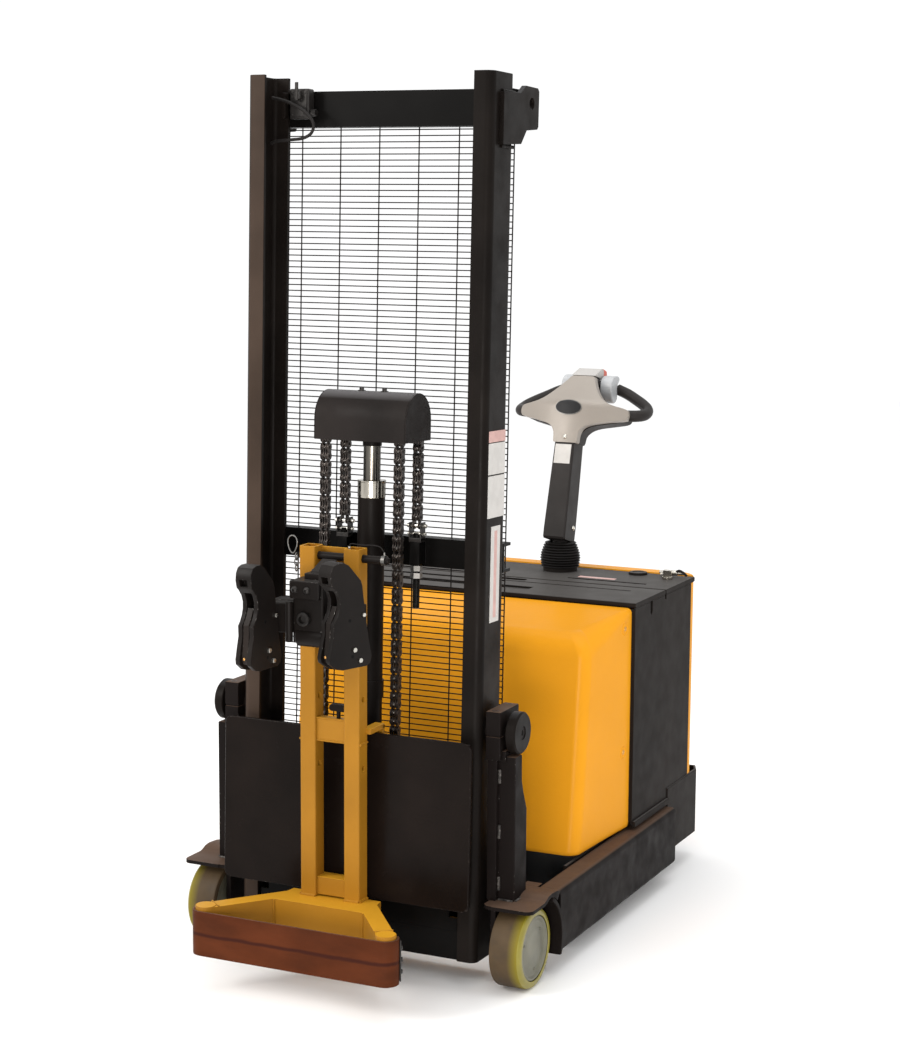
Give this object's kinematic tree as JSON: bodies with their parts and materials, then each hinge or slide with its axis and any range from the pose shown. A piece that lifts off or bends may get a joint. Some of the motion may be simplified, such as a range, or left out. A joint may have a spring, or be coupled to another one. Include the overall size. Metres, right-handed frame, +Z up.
{
  "type": "walkie stacker",
  "caption": "Counterbalanced walk-behind stacker with a tilting mast, chain-lifted carriage and a drum gripper with belted cradle, steered by a tiller.",
  "frame": {"origin": "centre of the bounding box's footprint, on the floor", "axes": "+X across the truck to the side away from the switch cable, +Y to the operator's end, +Z up"},
  "size_m": [0.868, 1.6052, 1.9579],
  "materials": {
    "black_paint": "satin black paint over welded steel",
    "cover_black": "satin charcoal moulded cover",
    "cowl_yellow": "glossy orange-yellow moulded cowl",
    "frame_yellow": "yellow paint over steel",
    "chrome": "polished chrome",
    "steel": "machined steel",
    "chain_steel": "oiled dark roller chain",
    "rubber": "matt black rubber",
    "tyre": "polyurethane tread on a yellow-green core",
    "belt_leather": "brown leather belt",
    "battery_case": "dark battery case",
    "charcoal_plastic": "charcoal moulded plastic",
    "silver_plastic": "warm silver plastic",
    "grey_plastic": "light grey plastic",
    "red_plastic": "red plastic"
  },
  "bodies": {
    "chassis": {"chassis_frame": "black_paint", "straddle_arm_left": "black_paint", "straddle_arm_right": "black_paint", "side_cover_left": "cover_black", "side_cover_right": "cover_black", "front_cowl": "cowl_yellow", "front_top_cover": "cover_black", "rear_top_cover": "cover_black", "rear_cover": "cowl_yellow", "battery_pack": "battery_case", "pump_unit": "steel"},
    "tilt_barrel": {"tilt_barrel": "black_paint"},
    "tilt_rod": {"tilt_rod": "chrome"},
    "mast": {"mast_rail_left": "black_paint", "mast_rail_right": "black_paint", "top_crossmember": "black_paint", "mid_crossmember": "black_paint", "bottom_crossmember": "black_paint", "mesh_guard": "black_paint", "lift_cylinder": "black_paint", "cylinder_gland": "chrome", "limit_switch": "steel", "switch_cable": "rubber", "chain_rear_left": "chain_steel", "chain_rear_right": "chain_steel"},
    "piston": {"lift_rod": "chrome", "crosshead": "black_paint", "crosshead_cover": "black_paint"},
    "sheave_left": {"chain_sheave_left": "steel"},
    "sheave_right": {"chain_sheave_right": "steel"},
    "carriage": {"carriage_plate": "black_paint", "carriage_frame": "black_paint", "drum_frame": "frame_yellow", "frame_pin": "black_paint", "gripper_block": "black_paint", "gripper_beak_left": "black_paint", "gripper_beak_right": "black_paint", "cradle": "frame_yellow", "drum_belt": "belt_leather", "chain_front_left": "chain_steel", "chain_front_right": "chain_steel"},
    "roller_lower_left": {"carriage_roller_lower_left": "steel"},
    "roller_lower_right": {"carriage_roller_lower_right": "steel"},
    "roller_upper_left": {"carriage_roller_upper_left": "steel"},
    "roller_upper_right": {"carriage_roller_upper_right": "steel"},
    "jaw_left": {"gripper_jaw_left": "steel"},
    "jaw_right": {"gripper_jaw_right": "steel"},
    "load_wheel_left": {"load_wheel_left": "tyre"},
    "load_wheel_right": {"load_wheel_right": "tyre"},
    "steering": {"drive_unit": "steel", "bellows": "rubber"},
    "drive_wheel": {"drive_wheel": "tyre"},
    "tiller": {"tiller_arm": "charcoal_plastic", "tiller_head": "charcoal_plastic", "head_face": "silver_plastic"},
    "throttle": {"throttle": "grey_plastic"},
    "reverse_button": {"reverse_button": "red_plastic"},
    "lift_button": {"lift_button": "grey_plastic"},
    "lower_button": {"lower_button": "grey_plastic"},
    "key": {"key_switch": "chrome"}
  },
  "joints": [
    {"name": "mast_tilt", "type": "hinge", "parent": "chassis", "child": "mast", "pos_m": [0, -0.3917, 0.559], "axis": [-1, 0, 0], "range_deg": [-3.7, 2.2]},
    {"name": "tilt_barrel_swing", "type": "hinge", "parent": "chassis", "child": "tilt_barrel", "pos_m": [0, -0.0187, 0.128], "axis": [-1, 0, 0], "range_deg": [-0.8, 1.3]},
    {"name": "tilt_rod_slide", "type": "slide", "parent": "tilt_barrel", "child": "tilt_rod", "axis": [0, -1, 0], "range_m": [-0.029, 0.018]},
    {"name": "piston_lift", "type": "slide", "parent": "mast", "child": "piston", "axis": [0, 0.0304, 0.9995], "range_m": [-0.03, 0.65], "deforming": ["chain_rear_left", "chain_rear_right"]},
    {"name": "carriage_lift", "type": "slide", "parent": "piston", "child": "carriage", "axis": [0, 0.0304, 0.9995], "range_m": [-0.03, 0.65], "deforming": ["chain_front_left", "chain_front_right"]},
    {"name": "sheave_spin_left", "type": "hinge", "parent": "piston", "child": "sheave_left", "pos_m": [-0.09, -0.37375, 1.21576], "axis": [-1, 0, 0], "range_deg": [-39, 811]},
    {"name": "sheave_spin_right", "type": "hinge", "parent": "piston", "child": "sheave_right", "pos_m": [0.09, -0.37375, 1.21576], "axis": [-1, 0, 0], "range_deg": [-39, 811]},
    {"name": "roller_spin_lower_left", "type": "hinge", "parent": "carriage", "child": "roller_lower_left", "pos_m": [-0.267, -0.39624, 0.24499], "axis": [-1, 0, 0], "range_deg": [-74, 1566]},
    {"name": "roller_spin_lower_right", "type": "hinge", "parent": "carriage", "child": "roller_lower_right", "pos_m": [0.267, -0.39624, 0.24499], "axis": [-1, 0, 0], "range_deg": [-74, 1566]},
    {"name": "roller_spin_upper_left", "type": "hinge", "parent": "carriage", "child": "roller_upper_left", "pos_m": [-0.267, -0.38986, 0.4549], "axis": [1, 0, 0], "range_deg": [-74, 1566]},
    {"name": "roller_spin_upper_right", "type": "hinge", "parent": "carriage", "child": "roller_upper_right", "pos_m": [0.267, -0.38986, 0.4549], "axis": [1, 0, 0], "range_deg": [-74, 1566]},
    {"name": "jaw_hinge_left", "type": "hinge", "parent": "carriage", "child": "jaw_left", "pos_m": [-0.07545, -0.74961, 0.753], "axis": [0.9986, -0.0523, 0], "range_deg": [-6, 6]},
    {"name": "jaw_hinge_right", "type": "hinge", "parent": "carriage", "child": "jaw_right", "pos_m": [0.10651, -0.7141, 0.766], "axis": [0.9455, -0.3256, 0], "range_deg": [-6, 6]},
    {"name": "load_wheel_spin_left", "type": "hinge", "parent": "chassis", "child": "load_wheel_left", "pos_m": [-0.3795, -0.4082, 0.0895], "axis": [1, 0, 0], "continuous": true},
    {"name": "load_wheel_spin_right", "type": "hinge", "parent": "chassis", "child": "load_wheel_right", "pos_m": [0.3795, -0.4082, 0.0895], "axis": [1, 0, 0], "continuous": true},
    {"name": "steering_turn", "type": "hinge", "parent": "chassis", "child": "steering", "pos_m": [0.057, 0.5663, 0.5], "axis": [0, 0, 1], "range_deg": [-90, 90]},
    {"name": "drive_wheel_spin", "type": "hinge", "parent": "steering", "child": "drive_wheel", "pos_m": [0.057, 0.5663, 0.115], "axis": [1, 0, 0], "continuous": true},
    {"name": "tiller_tilt", "type": "hinge", "parent": "steering", "child": "tiller", "pos_m": [0.057, 0.5663, 0.79], "axis": [-1, 0, 0], "range_deg": [0, 60], "stiffness_Nm_per_rad": 15, "springref_deg": -59.99, "deforming": ["bellows"]},
    {"name": "throttle_twist", "type": "hinge", "parent": "tiller", "child": "throttle", "pos_m": [0.057, 0.76311, 1.20033], "axis": [1, 0, 0], "range_deg": [-35, 35], "stiffness_Nm_per_rad": 0.4},
    {"name": "reverse_press", "type": "slide", "parent": "tiller", "child": "reverse_button", "axis": [0, -0.2672, -0.9636], "range_m": [0, 0.004], "stiffness_N_per_m": 1200, "springref_m": -0.002},
    {"name": "lift_press", "type": "slide", "parent": "tiller", "child": "lift_button", "axis": [0, -0.9636, 0.2672], "range_m": [0, 0.003], "stiffness_N_per_m": 900, "springref_m": -0.002},
    {"name": "lower_press", "type": "slide", "parent": "tiller", "child": "lower_button", "axis": [0, -0.9636, 0.2672], "range_m": [0, 0.003], "stiffness_N_per_m": 900, "springref_m": -0.002},
    {"name": "key_turn", "type": "hinge", "parent": "chassis", "child": "key", "pos_m": [0.352, 0.5603, 0.75], "axis": [0, 0, 1], "range_deg": [0, 90]}
  ],
  "couplings": [
    {"joint": "tilt_barrel_swing", "follows": "mast_tilt", "ratio": -0.304},
    {"joint": "tilt_rod_slide", "follows": "mast_tilt", "m_per_rad": 0.431},
    {"joint": "carriage_lift", "follows": "piston_lift", "ratio": 1},
    {"joint": "sheave_spin_left", "follows": "piston_lift", "rad_per_m": 21.739},
    {"joint": "sheave_spin_right", "follows": "piston_lift", "rad_per_m": 21.739},
    {"joint": "roller_spin_lower_left", "follows": "piston_lift", "rad_per_m": 42.017},
    {"joint": "roller_spin_lower_right", "follows": "piston_lift", "rad_per_m": 42.017},
    {"joint": "roller_spin_upper_left", "follows": "piston_lift", "rad_per_m": 42.017},
    {"joint": "roller_spin_upper_right", "follows": "piston_lift", "rad_per_m": 42.017}
  ]
}
